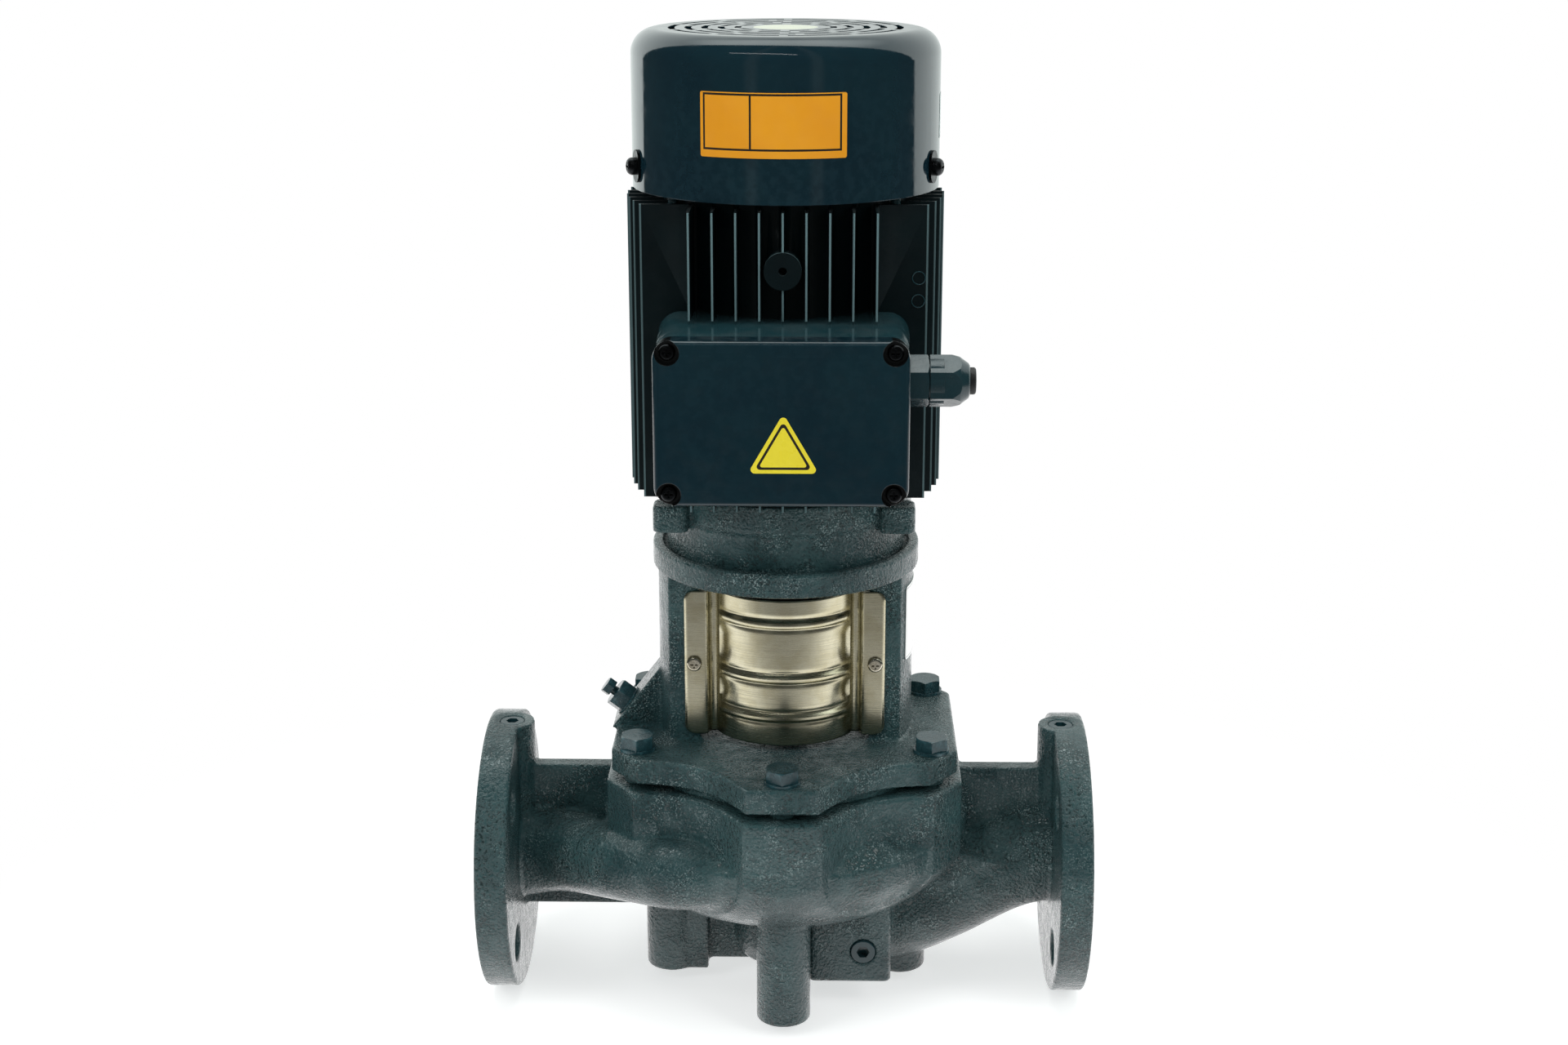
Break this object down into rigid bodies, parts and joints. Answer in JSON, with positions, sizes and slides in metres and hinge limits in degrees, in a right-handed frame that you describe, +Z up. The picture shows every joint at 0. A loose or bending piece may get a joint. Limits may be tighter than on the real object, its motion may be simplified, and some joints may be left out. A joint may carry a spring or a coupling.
{
  "type": "in-line circulation pump",
  "caption": "Vertical in-line circulation pump: cast volute casing between two pipe flanges, motor stool with guarded coupling, finned fan-cooled motor with terminal box.",
  "frame": {"origin": "centre of the four feet, on the plane of their lower faces", "axes": "+Z up along the shaft, +X out of the suction flange, -Y towards the terminal box"},
  "size_m": [0.32, 0.2171, 0.515],
  "materials": {
    "cast_paint": "petrol blue-green gloss enamel over rough iron casting",
    "motor_paint": "petrol blue-green gloss enamel over die-cast aluminium",
    "cowl_paint": "smooth petrol blue-green gloss enamel on sheet steel",
    "bolt_paint": "petrol enamel over zinc-plated steel bolts",
    "guard_steel": "brushed stainless sheet",
    "plain_steel": "machined steel",
    "screw_black": "blackened steel screws",
    "screw_bright": "bright plated steel screws",
    "shaft_steel": "ground stainless steel",
    "bronze": "cast bronze",
    "impeller_iron": "machined grey iron",
    "coupling_iron": "turned ductile iron",
    "carbon": "resin-bound carbon seal ring",
    "ceramic": "polished ceramic seal ring",
    "rubber_black": "moulded rubber",
    "lamination": "stacked electrical steel sheets",
    "copper": "varnished copper wire",
    "rotor_aluminium": "cast aluminium rotor cage rings",
    "fan_plastic": "moulded plastic fan",
    "gland_plastic": "petrol-painted cable gland",
    "block_plastic": "moulded terminal block",
    "brass_studs": "brass terminal studs"
  },
  "bodies": {
    "pump_body": {"volute_casing": "cast_paint", "casing_wear_ring": "bronze", "casing_o_ring": "rubber_black", "pipe_plugs": "bolt_paint", "motor_stool": "cast_paint", "stool_bolts": "bolt_paint", "stool_washers": "bolt_paint", "vent_plug": "bolt_paint", "vent_plug_washer": "bolt_paint", "guard_front": "guard_steel", "guard_rear": "guard_steel", "guard_screws": "screw_bright", "seal_seat": "ceramic", "seal_seat_cup": "rubber_black", "motor_end_shield": "cast_paint", "motor_flange_bolts": "plain_steel", "shaft_oil_seal": "rubber_black", "bearing_outer_races": "shaft_steel", "bearing_preload_spring": "plain_steel", "motor_frame": "motor_paint", "stator_core": "lamination", "stator_windings": "copper", "rear_end_shield": "motor_paint", "tie_bolts": "bolt_paint", "fan_cowl": "cowl_paint", "cowl_screws": "screw_black", "cowl_washers": "screw_black", "terminal_box": "motor_paint", "terminal_box_screws": "plain_steel", "terminal_box_lid": "cowl_paint", "terminal_box_gasket": "rubber_black", "lid_screws": "screw_black", "terminal_block": "block_plastic", "terminal_studs": "brass_studs", "gland_body": "gland_plastic", "gland_locknut": "gland_plastic", "gland_nut": "gland_plastic", "gland_seal": "rubber_black"},
    "rotor": {"pump_shaft": "shaft_steel", "impeller": "impeller_iron", "impeller_key": "plain_steel", "impeller_washer": "plain_steel", "impeller_nut": "plain_steel", "seal_face": "carbon", "seal_bellows": "rubber_black", "seal_spring": "plain_steel", "coupling_half_front": "coupling_iron", "coupling_half_rear": "coupling_iron", "coupling_screws": "screw_black", "motor_shaft": "shaft_steel", "rotor_core": "lamination", "rotor_end_rings": "rotor_aluminium", "bearing_inner_races": "shaft_steel", "cooling_fan": "fan_plastic", "fan_circlip": "plain_steel"},
    "lower_ball_set": {"lower_bearing_balls": "screw_bright", "lower_bearing_cage": "plain_steel"},
    "upper_ball_set": {"upper_bearing_balls": "screw_bright", "upper_bearing_cage": "plain_steel"},
    "bleed_screw": {"vent_screw": "bolt_paint"}
  },
  "joints": [
    {"name": "rotor_spin", "type": "hinge", "parent": "pump_body", "child": "rotor", "pos_m": [0, 0, 0.1], "axis": [0, 0, 1], "continuous": true},
    {"name": "lower_ball_set_spin", "type": "hinge", "parent": "pump_body", "child": "lower_ball_set", "pos_m": [0, 0, 0.269], "axis": [0, 0, 1], "continuous": true},
    {"name": "upper_ball_set_spin", "type": "hinge", "parent": "pump_body", "child": "upper_ball_set", "pos_m": [0, 0, 0.4405], "axis": [0, 0, 1], "continuous": true},
    {"name": "bleed_screw_turn", "type": "hinge", "parent": "pump_body", "child": "bleed_screw", "pos_m": [-0.0843, 0, 0.1534], "axis": [-0.7934, 0, 0.6088], "range_deg": [0, 360]}
  ],
  "couplings": [
    {"joint": "lower_ball_set_spin", "follows": "rotor_spin", "ratio": 0.38149},
    {"joint": "upper_ball_set_spin", "follows": "rotor_spin", "ratio": 0.38149}
  ]
}
